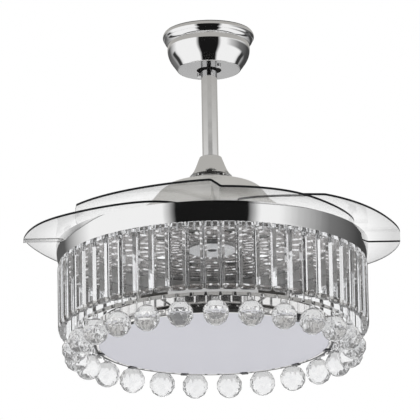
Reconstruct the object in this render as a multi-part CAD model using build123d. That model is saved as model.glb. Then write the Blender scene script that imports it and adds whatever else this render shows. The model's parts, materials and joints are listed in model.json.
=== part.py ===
"""Crystal ceiling fan with four clear blades that fold over a ring of crystal bars.

Millimetres. The origin is the centre of the ceiling plane, +Z is up and the fan hangs below it,
so every height is a depth below the ceiling, written as a positive size and used with a minus sign.
The front is -Y. The blades are drawn folded, as they lie while the fan is off.
"""

from build123d import *
import math
import os

# Sizes shared by several pieces
fit_gap = 0.03            # radial gap of parts pressed or slid together in one body
running_gap = 0.06        # radial gap of a shaft that turns in its bore
ball_seat_gap = 0.3       # gap between the hanger ball and the cradle it rocks in
screw_hole_gap = 0.3      # radial gap of a screw in a plain hole
cut_overrun = 2.0         # how far a cutting tool runs past the face it cuts

# Canopy
canopy_depth = 51.6
canopy_wall = 1.2
canopy_rim_r = 58.6
canopy_bead_r = 60.9
canopy_bead_depth = 4.0
canopy_bead_height = 16.0
canopy_lip_height = 9.7
canopy_lip_taper = 1.3
canopy_lip_step = 0.5
canopy_bead_bulge = 0.9
canopy_neck_r = 54.6
canopy_belly_r = 55.2
canopy_belly_depth = 22.0
canopy_shoulder_r = 51.7
canopy_shoulder_depth = 37.0
canopy_floor_r = 42.0
canopy_edge_r = 2.0
canopy_slope_share = 0.62
canopy_hole_r = 16.5

# Ceiling bracket with its cradle
strap_length = 98.0
strap_width = 30.0
strap_thickness = 2.5
ceiling_screw_spacing = 74.0
ceiling_screw_hole_r = 2.6
leg_offset = 27.5
leg_width = 22.0
cradle_r = 31.0
cradle_thickness = 3.0

# Canopy screws
canopy_screw_circle_r = 24.0
canopy_screw_azimuth = 120.5
canopy_screw_r = 2.0
canopy_screw_head_r = 3.8
canopy_screw_head_height = 2.4
canopy_screw_slot = 0.9

# Hanger ball and its pin
hanger_ball_r = 20.0
hanger_ball_depth = 26.0
hanger_ball_top = 9.0
hanger_ball_bottom = 15.5
cradle_below_ball = 10.0
rod_pin_r = 3.0
hanger_pin_length = 34.0

# Downrod
rod_r = 10.65
rod_wall = 2.2
rod_above_ball = 14.0
rod_length = 186.0

# Motor shaft: a forked cup above, a tube through the motor, a flange below
cup_wall = 5.32
cup_socket = 14.0
cup_floor = 6.0
cup_pin_height = 6.0
shaft_r = 10.0
shaft_bore_r = 6.0
shaft_collar_width = 2.4
shaft_collar_height = 3.0
shaft_flange_r = 32.0
shaft_flange_thickness = 4.0

# Coupling cover
cover_height = 27.2
cover_above_cup_floor = 3.2
cover_top_r = 15.0
cover_bottom_r = 28.2
cover_wall = 1.4
cover_shoulder = 1.6
cover_slot_count = 6
cover_slot_width = 7.0
cover_slot_height = 3.6
cover_slot_azimuth = -94.0

# Bearings
bearing_r = 16.0
bearing_width = 9.0
bearing_race = 1.8
bearing_shield_inset = 0.6
bearing_end_gap = 0.1
upper_bearing_drop = 11.0

# Motor: outer rotor shell, magnets, stator
shell_r = 62.0
shell_wall = 3.0
shell_below_coils = 8.4
shell_boss_height = 7.0
shell_boss_wall = 3.94
shell_lip_overlap = 3.0
shell_vent_count = 8
shell_vent_r = 6.0
shell_vent_circle_r = 40.0
magnet_count = 16
magnet_thickness = 4.6
magnet_overhang = 2.0
magnet_angle = 19.0
air_gap = 0.8
stator_drop = 14.0
stator_height = 20.0
stator_hub_r = 24.0
tooth_count = 12
tooth_width = 7.0
tooth_shoe_angle = 22.0
tooth_shoe_thickness = 5.0
coil_inner_r = 33.0
coil_shoe_gap = 2.6
coil_build = 3.6
coil_round_share = 0.8
coil_gap = 0.2

# Blade plate: closes the motor and carries the blades
plate_r = 100.0
plate_thickness = 4.0
plate_ear_r = 14.0
plate_boss_wall = 5.94
plate_boss_overhang = 0.5
plate_lip_overlap = 3.0

# Hub cover: a shallow cone that turns down into a skirt
hub_wall = 1.5
hub_hole_r = 22.0
hub_above_cup_floor = 0.5
hub_shoulder_inset = 2.0
hub_shoulder_rise = 5.2
hub_waist_r = 84.0
hub_waist_share = 0.514
hub_skirt_height = 8.0

# Blades, as azimuths in degrees from the crease and shares of the way from the pivot circle to the tip
blade_count = 4
blade_tip_r = 249.0
blade_thickness = 3.0
blade_step = 9.0
blade_step_run = 13.0
blade_corner_r = 6.0
blade_bend_r = 4.0
blade_crease_azimuth = -90.0
blade_outer_shares = [(100, 0.123), (90, 0.182), (80, 0.409), (70, 0.619), (55, 0.738), (40, 0.836),
                      (26, 0.950), (12, 1.0), (0, 1.0), (-11, 0.950), (-25, 0.903), (-40, 0.874),
                      (-50, 0.851)]
blade_end_shares = [(-50, 0.851), (-61, 0.664), (-72, 0.508), (-80, 0.381)]
blade_inner_shares = [(-80, 0.381), (-68, 0.283), (-45, 0.231), (-20, 0.201), (5, 0.186), (30, 0.156),
                      (55, 0.097), (78, 0.008), (100, -0.104)]
blade_root_end_share = 0.130

# Gears between the blades
gear_module = 2.5
gear_height = 4.5
gear_drop = 6.6
sync_gear_teeth = 76
blade_gear_teeth = 16
gear_addendum_share = 0.80
gear_dedendum_share = 1.15
gear_backlash = 0.5
gear_pressure_deg = 20.0
gear_window_count = 8
gear_window_r = 15.0
gear_window_circle_r = 58.0

# Blade pivots and arms
pivot_azimuth = 108.0
pivot_r = 5.0
pivot_head_r = 8.0
pivot_head_height = 2.8
pivot_thread_r = 3.5
arm_sleeve_wall = 3.94
arm_plate_thickness = 3.0
arm_plate_length = 46.0
arm_plate_width = 20.0
arm_plate_direction = -80.5
arm_flange_r = 24.0
arm_flange_gap = 0.4
arm_flange_thickness = 2.0
rivet_r = 2.4
rivet_head_r = 4.4
rivet_head_height = 1.2
rivet_first = 20.0
rivet_second = 38.0

# Spiral return spring between the blade plate and the synchronising gear
spring_boss_gap = 0.35
spring_thickness = 0.9
spring_height = 4.4
spring_pitch = 2.4
spring_half_turns = 7
spring_top_gap = 0.4

# Light plate and chrome band
light_plate_drop = 3.1
light_plate_edge_gap = 1.9
light_plate_thickness = 2.0
light_plate_vent_count = 10
light_plate_vent_r = 9.0
light_plate_vent_circle_r = 80.0
band_height = 26.0
band_top_r = 207.0
band_taper = 4.0
band_bulge_inset = 1.1
band_wall = 1.5
band_flange_width = 17.0
bumper_azimuths = (-164.0, -20.0, 90.0)
bumper_inset = 10.0
bumper_length = 14.0
bumper_width = 7.0
bumper_height = 3.6

# Crystal bars
bar_overhang = 2.0
bar_side_gap = 0.3
bar_depth = 9.5
bar_width = 21.6
bar_top_gap = 0.3
bar_length = 89.7
bar_side_chamfer = 3.6
bar_end_length = 5.5
bar_end_inset = 1.3
bar_screw_inset = 7.4
bar_screw_r = 1.5
bar_screw_length = 9.0
bar_screw_head_r = 2.8
bar_screw_head_height = 1.8
bar_screw_end_gap = 1.0

# Lamp tray, its studs, the lamp board, the driver and the diffuser
tray_inset = 47.0
tray_wall = 1.2
tray_height = 27.0
tray_above_bar_ends = 8.0
tray_lip_width = 6.4
tray_corner = 4.0
stud_count = 4
stud_inset = 18.0
stud_r = 3.0
stud_nut_r = 5.5
stud_nut_height = 3.0
stud_azimuth = 45.0
board_edge_gap = 10.8
board_width = 76.0
board_thickness = 1.6
lamp_rows_share = (0.55, 0.75, 0.95)
lamp_count = 18
lamp_size = 3.5
lamp_height = 0.9
driver_length = 118.0
driver_width = 42.0
driver_height = 24.0
driver_foot = 9.0
driver_foot_thickness = 1.6
driver_offset = -70.0
diffuser_edge_gap = 0.6
diffuser_flange_gap = 1.8
diffuser_flange_thickness = 1.5

# Ring of crystal balls
pendant_count = 25
pendant_azimuth = -89.0
pendant_inset = 21.5
pendant_r = 17.4
pendant_drop = 18.0
pendant_columns = 12
pendant_latitudes = (70, 44, 15, -15, -44, -70)
lug_r = 3.0
lug_above_hole = 2.4
hook_wire_r = 0.6
hook_leg_r = 0.72
hook_half_span = 4.6
hook_drop = 4.6
ring_strip_height = 5.0
ring_strip_thickness = 1.5
spoke_count = 8
spoke_r = 1.5
spoke_drop = 10.0
spoke_above_strip_end = 2.4
spoke_azimuth = 22.5

# Depths, each worked out from the piece above it
cradle_depth = hanger_ball_depth + cradle_below_ball
rod_top_depth = hanger_ball_depth - rod_above_ball
rod_bottom_depth = rod_top_depth + rod_length
cup_top_depth = rod_bottom_depth - cup_socket
cup_bottom_depth = rod_bottom_depth + cup_floor
cup_pin_depth = rod_bottom_depth - cup_pin_height
cover_bottom_depth = cup_bottom_depth - cover_above_cup_floor
cover_top_depth = cover_bottom_depth - cover_height
upper_bearing_depth = cup_bottom_depth + upper_bearing_drop
shell_top_depth = upper_bearing_depth + shell_boss_height
stator_top_depth = shell_top_depth + stator_drop
stator_bottom_depth = stator_top_depth + stator_height
magnet_top_depth = stator_top_depth - magnet_overhang
magnet_bottom_depth = stator_bottom_depth + magnet_overhang
plate_top_depth = stator_bottom_depth + coil_build + shell_below_coils
plate_bottom_depth = plate_top_depth + plate_thickness
lower_bearing_depth = plate_top_depth + fit_gap
hub_top_depth = cup_bottom_depth - hub_above_cup_floor
hub_shoulder_depth = shell_top_depth - hub_shoulder_rise
hub_skirt_depth = plate_top_depth - hub_skirt_height
hub_waist_depth = hub_shoulder_depth + (hub_skirt_depth - hub_shoulder_depth) * hub_waist_share
gear_top_depth = plate_bottom_depth + gear_drop
gear_bottom_depth = gear_top_depth + gear_height
plate_boss_depth = gear_bottom_depth + plate_boss_overhang
blade_top_depth = gear_bottom_depth + arm_flange_gap + arm_flange_thickness + arm_plate_thickness
blade_bottom_depth = blade_top_depth + blade_thickness
light_plate_top_depth = blade_bottom_depth + bearing_end_gap + pivot_head_height + light_plate_drop
light_plate_bottom_depth = light_plate_top_depth + light_plate_thickness
band_top_depth = light_plate_top_depth - band_wall
band_bottom_depth = band_top_depth + band_height
bar_top_depth = band_bottom_depth + bar_top_gap
bar_bottom_depth = bar_top_depth + bar_length
tray_top_depth = bar_bottom_depth - tray_above_bar_ends
tray_bottom_depth = tray_top_depth + tray_height
spoke_depth = tray_top_depth + spoke_drop
ring_strip_bottom_depth = spoke_depth + spoke_above_strip_end
hook_depth = ring_strip_bottom_depth + hook_drop
pendant_depth = hook_depth + pendant_drop

# Radii worked out from what they fit
cup_r = rod_r + fit_gap + cup_wall
shaft_collar_r = shaft_r + shaft_collar_width
bearing_seat_r = bearing_r + running_gap
shell_boss_r = bearing_seat_r + shell_boss_wall
shell_lip_bore_r = bearing_r - shell_lip_overlap
hub_shoulder_r = shell_r - hub_shoulder_inset
stator_r = shell_r - shell_wall - magnet_thickness - air_gap
coil_outer_r = stator_r - tooth_shoe_thickness - coil_shoe_gap
plate_boss_r = bearing_seat_r + plate_boss_wall
plate_lower_bore_r = bearing_r - plate_lip_overlap
pivot_circle_r = gear_module * (sync_gear_teeth + blade_gear_teeth) / 2
blade_reach = blade_tip_r - pivot_circle_r
arm_sleeve_r = pivot_r + running_gap + arm_sleeve_wall
spring_start_r = plate_boss_r + spring_boss_gap + spring_thickness / 2
band_bottom_r = band_top_r - band_taper
band_bulge_r = band_top_r - band_bulge_inset
light_plate_r = band_top_r - band_wall - light_plate_edge_gap
band_flange_r = band_top_r - band_flange_width
bumper_circle_r = band_top_r - bumper_inset
bar_outer_r = band_bottom_r + bar_overhang
bar_inner_r = bar_outer_r - bar_depth
bar_count = math.floor(2 * math.pi * bar_inner_r / (bar_width + bar_side_gap))
bar_screw_circle_r = bar_outer_r - bar_screw_inset
pendant_circle_r = bar_outer_r - pendant_inset
tray_r = bar_outer_r - tray_inset
stud_circle_r = tray_r - stud_inset
tray_lip_r = tray_r - tray_lip_width
diffuser_r = tray_lip_r - diffuser_edge_gap
diffuser_flange_r = tray_r - tray_wall - diffuser_flange_gap
board_outer_r = tray_r - tray_wall - board_edge_gap
board_inner_r = board_outer_r - board_width
blade_creases = [blade_crease_azimuth + 360 / blade_count * k for k in range(blade_count)]


def at(azimuth, radius, z=0):
    """Point on a circle round the fan's axis."""
    angle = math.radians(azimuth)
    return (radius * math.cos(angle), radius * math.sin(angle), z)


def rod_along_z(radius, top_depth, bottom_depth, place=(0, 0)):
    """Upright cylinder between two depths."""
    middle = -(top_depth + bottom_depth) / 2
    return Pos(place[0], place[1], middle) * Cylinder(radius, bottom_depth - top_depth)


def drill(radius, top_depth, bottom_depth, place=(0, 0)):
    """Upright cutting tool that runs past both depths."""
    return rod_along_z(radius, top_depth - cut_overrun, bottom_depth + cut_overrun, place)


def tube_along_z(outer_r, inner_r, top_depth, bottom_depth, place=(0, 0)):
    """Upright tube between two depths."""
    bore = drill(inner_r, top_depth, bottom_depth, place)
    return rod_along_z(outer_r, top_depth, bottom_depth, place) - bore


def block(length, width, top_depth, bottom_depth, place=(0, 0)):
    """Upright block between two depths."""
    middle = -(top_depth + bottom_depth) / 2
    return Pos(place[0], place[1], middle) * Box(length, width, bottom_depth - top_depth)


def turned(profile):
    """Body of revolution from (radius, depth) corners."""
    corners = [(radius, 0, -depth) for radius, depth in profile]
    return revolve(make_face(Polyline(*corners, close=True)), Axis.Z)


def turned_from_edges(*edges):
    """Body of revolution from joined edges drawn in the XZ plane."""
    return revolve(make_face(edges), Axis.Z)


def around(shape, count, start=0):
    """Copies of a shape at even steps round the fan's axis."""
    return [Rot(0, 0, start + 360 / count * k) * shape for k in range(count)]


def save(name, *pieces):
    """Write one node, whose pieces stay separate solids."""
    solids = [solid for piece in pieces for solid in piece.solids()]
    shape = solids[0] if len(solids) == 1 else Compound(solids)
    export_step(shape, "parts/" + name + ".step")


def canopy():
    inner_floor_depth = canopy_depth - canopy_wall
    hole = canopy_hole_r
    bead_low = canopy_bead_height
    lip_r = canopy_bead_r - canopy_lip_taper
    lip_edge = Vector(lip_r, 0, -canopy_lip_height)
    bead_start = Vector(lip_r - canopy_lip_step, 0, -canopy_lip_height)
    bead_end = Vector(canopy_neck_r, 0, -bead_low)
    outward = (bead_end - bead_start).cross(Vector(0, 1, 0)).normalized()
    bead_middle = (bead_start + bead_end) / 2 + outward * canopy_bead_bulge
    outer = [
        ThreePointArc((canopy_rim_r, 0, 0), (canopy_bead_r, 0, -canopy_bead_depth), lip_edge),
        Line(lip_edge, bead_start),
        ThreePointArc(bead_start, bead_middle, bead_end),
        Line(bead_end, (canopy_belly_r, 0, -canopy_belly_depth)),
        Spline((canopy_belly_r, 0, -canopy_belly_depth), (canopy_shoulder_r, 0, -canopy_shoulder_depth),
               (canopy_floor_r, 0, -canopy_depth), tangents=[(0, 0, -1), (-canopy_slope_share, 0, -1)]),
        Line((canopy_floor_r, 0, -canopy_depth), (hole, 0, -canopy_depth)),
    ]
    mouth_r = canopy_neck_r - canopy_wall
    inner_belly_r = canopy_belly_r - canopy_wall
    inner_floor_r = canopy_floor_r - canopy_wall / 2
    inner_shoulder = (canopy_shoulder_r - canopy_wall, 0, -canopy_shoulder_depth + canopy_wall / 2)
    inner = [
        Line((hole, 0, -canopy_depth), (hole, 0, -inner_floor_depth)),
        Line((hole, 0, -inner_floor_depth), (inner_floor_r, 0, -inner_floor_depth)),
        Spline((inner_floor_r, 0, -inner_floor_depth), inner_shoulder,
               (inner_belly_r, 0, -canopy_belly_depth), tangents=[(canopy_slope_share, 0, 1), (0, 0, 1)]),
        Line((inner_belly_r, 0, -canopy_belly_depth), (mouth_r, 0, -bead_low)),
        Line((mouth_r, 0, -bead_low), (mouth_r, 0, 0)),
        Line((mouth_r, 0, 0), (canopy_rim_r, 0, 0)),
    ]
    shell = turned_from_edges(*outer, *inner)
    corner = shell.edges().filter_by(GeomType.CIRCLE).sort_by_distance((canopy_floor_r, 0, -canopy_depth))[0]
    shell = fillet(corner, canopy_edge_r)
    for azimuth in (canopy_screw_azimuth, canopy_screw_azimuth + 180):
        place = at(azimuth, canopy_screw_circle_r)
        shell -= drill(canopy_screw_r + screw_hole_gap, inner_floor_depth, canopy_depth, place)
    return shell


def ceiling_bracket():
    strap = block(strap_length, strap_width, 0, strap_thickness)
    for side in (-1, 1):
        strap -= rod_along_z(ceiling_screw_hole_r, -cut_overrun, strap_thickness + cut_overrun,
                             (side * ceiling_screw_spacing / 2, 0))
    body = strap + rod_along_z(cradle_r, cradle_depth, cradle_depth + cradle_thickness)
    for side in (-1, 1):
        body += block(strap_thickness, leg_width, strap_thickness / 2, cradle_depth + cradle_thickness / 2,
                      (side * leg_offset, 0))
    body -= Pos(0, 0, -hanger_ball_depth) * Sphere(hanger_ball_r + ball_seat_gap)
    for azimuth in (canopy_screw_azimuth, canopy_screw_azimuth + 180):
        body -= drill(canopy_screw_r + fit_gap, cradle_depth, cradle_depth + cradle_thickness,
                      at(azimuth, canopy_screw_circle_r))
    return body


def canopy_screws():
    screws = []
    for azimuth in (canopy_screw_azimuth, canopy_screw_azimuth + 180):
        place = at(azimuth, canopy_screw_circle_r)
        head_bottom = canopy_depth + canopy_screw_head_height
        head = rod_along_z(canopy_screw_head_r, canopy_depth, head_bottom, place)
        head -= block(canopy_screw_slot, canopy_screw_head_r * 3, head_bottom - canopy_screw_slot,
                      head_bottom + cut_overrun, place)
        shank = rod_along_z(canopy_screw_r, cradle_depth - strap_thickness, canopy_depth, place)
        screws.append(head + shank)
    return screws


def pin_along_x(radius, length, depth):
    return Pos(0, 0, -depth) * Rot(0, 90, 0) * Cylinder(radius, length)


def hanger_ball():
    ball = Pos(0, 0, -hanger_ball_depth) * Sphere(hanger_ball_r)
    top = hanger_ball_depth - hanger_ball_top
    bottom = hanger_ball_depth + hanger_ball_bottom
    ball &= rod_along_z(hanger_ball_r + cut_overrun, top, bottom)
    ball -= drill(rod_r + fit_gap, top, bottom)
    return ball - pin_along_x(rod_pin_r + fit_gap, hanger_ball_r * 2 + cut_overrun, hanger_ball_depth)


def downrod():
    rod = tube_along_z(rod_r, rod_r - rod_wall, rod_top_depth, rod_bottom_depth)
    for depth in (hanger_ball_depth, cup_pin_depth):
        rod -= pin_along_x(rod_pin_r + fit_gap, rod_r * 2 + cut_overrun, depth)
    return rod


def rod_pins():
    return [pin_along_x(rod_pin_r, hanger_pin_length, hanger_ball_depth),
            pin_along_x(rod_pin_r, cup_r * 2, cup_pin_depth)]


def coupling_cover():
    low_start = cover_top_depth + cover_shoulder
    flare = (0.45, 0, -1)
    skirt = (1, 0, -0.85)
    outer = [
        ThreePointArc((cover_top_r - cover_shoulder, 0, -cover_top_depth),
                      (cover_top_r - cover_shoulder * 0.3, 0, -cover_top_depth - cover_shoulder * 0.3),
                      (cover_top_r, 0, -low_start)),
        Spline((cover_top_r, 0, -low_start), (cover_bottom_r, 0, -cover_bottom_depth),
               tangents=[flare, skirt]),
    ]
    inner_top_r = cover_top_r - cover_wall
    inner_bottom_r = cover_bottom_r - cover_wall
    bore_r = rod_r + fit_gap
    inner = [
        Line((cover_bottom_r, 0, -cover_bottom_depth), (inner_bottom_r, 0, -cover_bottom_depth)),
        Spline((inner_bottom_r, 0, -cover_bottom_depth), (inner_top_r, 0, -low_start),
               tangents=[(-1, 0, 0.85), (-0.45, 0, 1)]),
        Line((inner_top_r, 0, -low_start), (bore_r, 0, -low_start)),
        Line((bore_r, 0, -low_start), (bore_r, 0, -cover_top_depth)),
        Line((bore_r, 0, -cover_top_depth), (cover_top_r - cover_shoulder, 0, -cover_top_depth)),
    ]
    bell = turned_from_edges(*outer, *inner)
    slot = block(cover_wall * 8, cover_slot_width, cover_bottom_depth - cover_slot_height,
                 cover_bottom_depth + cut_overrun, (cover_bottom_r, 0))
    for cut in around(slot, cover_slot_count, cover_slot_azimuth):
        bell -= cut
    return bell


def motor_shaft():
    flange_top = light_plate_bottom_depth
    flange_bottom = flange_top + shaft_flange_thickness
    shaft = rod_along_z(cup_r, cup_top_depth, cup_bottom_depth)
    shaft += rod_along_z(shaft_r, cup_bottom_depth, flange_top)
    shaft += rod_along_z(shaft_flange_r, flange_top, flange_bottom)
    upper_collar = upper_bearing_depth + bearing_width
    shaft += rod_along_z(shaft_collar_r, upper_collar, upper_collar + shaft_collar_height)
    shaft -= rod_along_z(rod_r + fit_gap, cup_top_depth - cut_overrun, rod_bottom_depth)
    shaft -= drill(shaft_bore_r, rod_bottom_depth, flange_bottom)
    return shaft - pin_along_x(rod_pin_r + fit_gap, cup_r * 2 + cut_overrun, cup_pin_depth)


def bearing(top_depth):
    """Sealed bearing with both shields set in from the faces of the races."""
    inner_r = shaft_r + fit_gap
    bottom_depth = top_depth + bearing_width
    high, low = top_depth + bearing_shield_inset, bottom_depth - bearing_shield_inset
    inner_race_r, outer_race_r = inner_r + bearing_race, bearing_r - bearing_race
    return turned([(inner_r, top_depth), (inner_race_r, top_depth), (inner_race_r, high),
                   (outer_race_r, high), (outer_race_r, top_depth), (bearing_r, top_depth),
                   (bearing_r, bottom_depth), (outer_race_r, bottom_depth), (outer_race_r, low),
                   (inner_race_r, low), (inner_race_r, bottom_depth), (inner_r, bottom_depth)])


def rotor_shell():
    lip_bottom = upper_bearing_depth - bearing_end_gap
    lip_top = lip_bottom - shell_wall / 2
    roof_bottom = shell_top_depth + shell_wall
    inner_r = shell_r - shell_wall
    shell = turned([(shell_lip_bore_r, lip_top), (shell_boss_r, lip_top), (shell_boss_r, shell_top_depth),
                    (shell_r - shell_wall / 2, shell_top_depth), (shell_r, shell_top_depth + shell_wall / 2),
                    (shell_r, plate_top_depth), (inner_r, plate_top_depth), (inner_r, roof_bottom),
                    (bearing_seat_r, roof_bottom), (bearing_seat_r, lip_bottom),
                    (shell_lip_bore_r, lip_bottom)])
    vent = drill(shell_vent_r, shell_top_depth, roof_bottom,
                       (shell_vent_circle_r, 0))
    for cut in around(vent, shell_vent_count):
        shell -= cut
    return shell


def rotor_magnets():
    outer_r = shell_r - shell_wall - fit_gap
    ring = tube_along_z(outer_r, outer_r - magnet_thickness, magnet_top_depth, magnet_bottom_depth)
    reach = shell_r * 2
    half = math.radians(magnet_angle / 2)
    corners = [(0, 0), (reach * math.cos(half), -reach * math.sin(half)),
               (reach * math.cos(half), reach * math.sin(half))]
    wedge = extrude(make_face(Polyline(*corners, close=True)), reach, both=True)
    magnet = ring & Pos(0, 0, -magnet_top_depth) * wedge
    return around(magnet, magnet_count)


def stator_core():
    top, bottom = stator_top_depth, stator_bottom_depth
    core = rod_along_z(stator_hub_r, top, bottom)
    shoe = tube_along_z(stator_r, stator_r - tooth_shoe_thickness, top, bottom)
    half = math.radians(tooth_shoe_angle / 2)
    reach = stator_r * 2
    corners = [(0, 0), (reach * math.cos(half), -reach * math.sin(half)),
               (reach * math.cos(half), reach * math.sin(half))]
    wedge = extrude(make_face(Polyline(*corners, close=True)), reach, both=True)
    shoe &= Pos(0, 0, -top) * wedge
    stem_length = stator_r - tooth_shoe_thickness / 2 - stator_hub_r / 2
    stem = block(stem_length, tooth_width, top, bottom, (stator_hub_r / 2 + stem_length / 2, 0))
    for tooth in around(stem, tooth_count) + around(shoe, tooth_count):
        core += tooth
    return core - drill(shaft_r + fit_gap, top, bottom)


def stator_windings():
    middle = (coil_inner_r + coil_outer_r) / 2
    length = coil_outer_r - coil_inner_r
    top, bottom = stator_top_depth, stator_bottom_depth
    coil = block(length, tooth_width + 2 * coil_build, top - coil_build, bottom + coil_build, (middle, 0))
    coil = fillet(coil.edges().filter_by(Axis.X), coil_build * coil_round_share)
    coil -= block(length + cut_overrun, tooth_width + 2 * coil_gap, top - coil_gap, bottom + coil_gap,
                  (middle, 0))
    return around(coil, tooth_count)


def blade_plate():
    plate = rod_along_z(plate_r, plate_top_depth, plate_bottom_depth)
    for crease in blade_creases:
        azimuth = crease + pivot_azimuth
        ear = block(pivot_circle_r - plate_r / 2, plate_ear_r * 2, plate_top_depth, plate_bottom_depth,
                    ((pivot_circle_r + plate_r / 2) / 2, 0))
        tip = rod_along_z(plate_ear_r, plate_top_depth, plate_bottom_depth, (pivot_circle_r, 0))
        plate += Rot(0, 0, azimuth) * ear
        plate += Rot(0, 0, azimuth) * tip
    plate += rod_along_z(plate_boss_r, plate_bottom_depth, plate_boss_depth)
    seat_bottom = lower_bearing_depth + bearing_width
    plate -= rod_along_z(bearing_seat_r, plate_top_depth - cut_overrun, seat_bottom + bearing_end_gap)
    plate -= rod_along_z(plate_lower_bore_r, seat_bottom, plate_boss_depth + cut_overrun)
    for crease in blade_creases:
        place = at(crease + pivot_azimuth, pivot_circle_r)
        plate -= drill(pivot_thread_r + fit_gap, plate_top_depth, plate_bottom_depth, place)
    return plate


def hub_cover():
    outer_start = (hub_hole_r, 0, -hub_top_depth)
    shoulder = (hub_shoulder_r, 0, -hub_shoulder_depth)
    waist = (hub_waist_r, 0, -hub_waist_depth)
    skirt = (plate_r, 0, -hub_skirt_depth)
    cone = (hub_shoulder_r - hub_hole_r, 0, hub_top_depth - hub_shoulder_depth)
    inner = [(r - hub_wall, 0, z - hub_wall) for r, _, z in (shoulder, waist, skirt)]
    inner_start = (hub_hole_r, 0, -hub_top_depth - hub_wall)
    edges = [
        Line(outer_start, shoulder),
        Spline(shoulder, waist, skirt, tangents=[cone, (0, 0, -1)]),
        Line(skirt, (plate_r, 0, -plate_top_depth)),
        Line((plate_r, 0, -plate_top_depth), (plate_r - hub_wall, 0, -plate_top_depth)),
        Line((plate_r - hub_wall, 0, -plate_top_depth), inner[2]),
        Spline(inner[2], inner[1], inner[0], tangents=[(0, 0, 1), (-cone[0], 0, -cone[2])]),
        Line(inner[0], inner_start),
        Line(inner_start, outer_start),
    ]
    return turned_from_edges(*edges)


def involute(cosine):
    """Involute function of the angle with this cosine."""
    angle = math.acos(cosine)
    return math.tan(angle) - angle


def gear_outline(teeth, tooth_at_zero):
    """Involute teeth with each flank drawn as two chords, thinned by half the backlash."""
    pitch_r = gear_module * teeth / 2
    base_r = pitch_r * math.cos(math.radians(gear_pressure_deg))
    root_r = pitch_r - gear_module * gear_dedendum_share
    radii = (root_r, pitch_r, pitch_r + gear_module * gear_addendum_share)
    half_pitch = (math.pi * gear_module - gear_backlash) / 4

    def half_angle(radius):
        return half_pitch / pitch_r + involute(base_r / pitch_r) - involute(min(1, base_r / radius))

    points = []
    for k in range(teeth):
        middle = 360 / teeth * (k if tooth_at_zero else k + 0.5)
        points += [at(middle - math.degrees(half_angle(radius)), radius) for radius in radii]
        points += [at(middle + math.degrees(half_angle(radius)), radius) for radius in reversed(radii)]
    return points


def gear(teeth, tooth_at_zero):
    face = make_face(Polyline(*gear_outline(teeth, tooth_at_zero), close=True))
    return Pos(0, 0, -gear_bottom_depth) * extrude(face, gear_height, dir=(0, 0, 1))


def sync_gear():
    wheel = Rot(0, 0, blade_creases[0] + pivot_azimuth) * gear(sync_gear_teeth, False)
    wheel -= drill(plate_boss_r + running_gap, gear_top_depth, gear_bottom_depth)
    window = drill(gear_window_r, gear_top_depth, gear_bottom_depth,
                         (gear_window_circle_r, 0))
    for cut in around(window, gear_window_count):
        wheel -= cut
    return wheel


def return_spring():
    """Flat spiral of half turns, each drawn round a centre half a pitch from the last."""
    top = plate_bottom_depth + spring_top_gap
    strip = None
    for k in range(spring_half_turns):
        radius = spring_start_r + spring_pitch / 2 * (k + 0.5)
        shift = spring_pitch / 4 * (1 if k % 2 else -1)
        turn = tube_along_z(radius + spring_thickness / 2, radius - spring_thickness / 2, top,
                            top + spring_height, (shift, 0))
        side = 1 if k % 2 == 0 else -1
        reach = radius * 2
        turn &= block(reach * 2, reach, top, top + spring_height, (0, side * reach / 2))
        strip = turn if strip is None else strip + turn
    return strip


def blade_point(pair):
    return at(pair[0], pivot_circle_r + pair[1] * blade_reach)


def blade_outline():
    """Plan of a folded blade whose crease lies along +X, from the root round the outer edge."""
    outer = [blade_point(pair) for pair in blade_outer_shares]
    end = [blade_point(pair) for pair in blade_end_shares]
    inner = [blade_point(pair) for pair in blade_inner_shares]
    pivot = at(pivot_azimuth, pivot_circle_r)
    beyond = at(pivot_azimuth + 90, blade_root_end_share * blade_reach)
    root_end = (pivot[0] + beyond[0], pivot[1] + beyond[1], 0)
    edges = [Spline(*outer), Spline(*end), Spline(*inner), ThreePointArc(inner[-1], root_end, outer[0])]
    return make_face(edges), outer[-1], end[-1]


def blade(crease):
    face, outer_corner, inner_corner = blade_outline()
    prism = extrude(face, blade_tip_r, dir=(0, 0, -1))
    upright = prism.edges().filter_by(Axis.Z)
    ends = [(x, y, -blade_tip_r / 2) for x, y, _ in (outer_corner, inner_corner)]
    corners = [upright.sort_by_distance(end)[0] for end in ends]
    prism = Pos(0, 0, -blade_top_depth + blade_tip_r / 2) * fillet(corners, blade_corner_r)
    slope = math.atan2(blade_step, blade_step_run)
    shift = blade_thickness * math.tan(slope / 2)
    reach = blade_tip_r * 1.5
    top, bottom = -blade_top_depth, -blade_bottom_depth
    section = [(0, -reach, top + blade_step), (0, 0, top + blade_step), (0, blade_step_run, top),
               (0, reach, top), (0, reach, bottom), (0, blade_step_run - shift, bottom),
               (0, -shift, bottom + blade_step), (0, -reach, bottom + blade_step)]
    sheet = extrude(make_face(Polyline(*section, close=True)), reach, dir=(1, 0, 0), both=True)
    for corner, radius in ((section[1], blade_bend_r + blade_thickness), (section[2], blade_bend_r),
                           (section[5], blade_bend_r + blade_thickness), (section[6], blade_bend_r)):
        sheet = fillet(sheet.edges().filter_by(Axis.X).sort_by_distance(corner)[0], radius)
    shape = prism & sheet
    pivot = at(pivot_azimuth, pivot_circle_r)
    shape -= drill(arm_sleeve_r + fit_gap, blade_top_depth, blade_bottom_depth, pivot)
    for distance in (rivet_first, rivet_second):
        shape -= drill(rivet_r + fit_gap, blade_top_depth, blade_bottom_depth, rivet_place(distance))
    return Rot(0, 0, crease) * shape


def rivet_place(distance):
    """Point on the arm at a distance from the pivot, for a blade whose crease lies along +X."""
    pivot = at(pivot_azimuth, pivot_circle_r)
    along = at(pivot_azimuth + arm_plate_direction, distance)
    return (pivot[0] + along[0], pivot[1] + along[1], 0)


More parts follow.
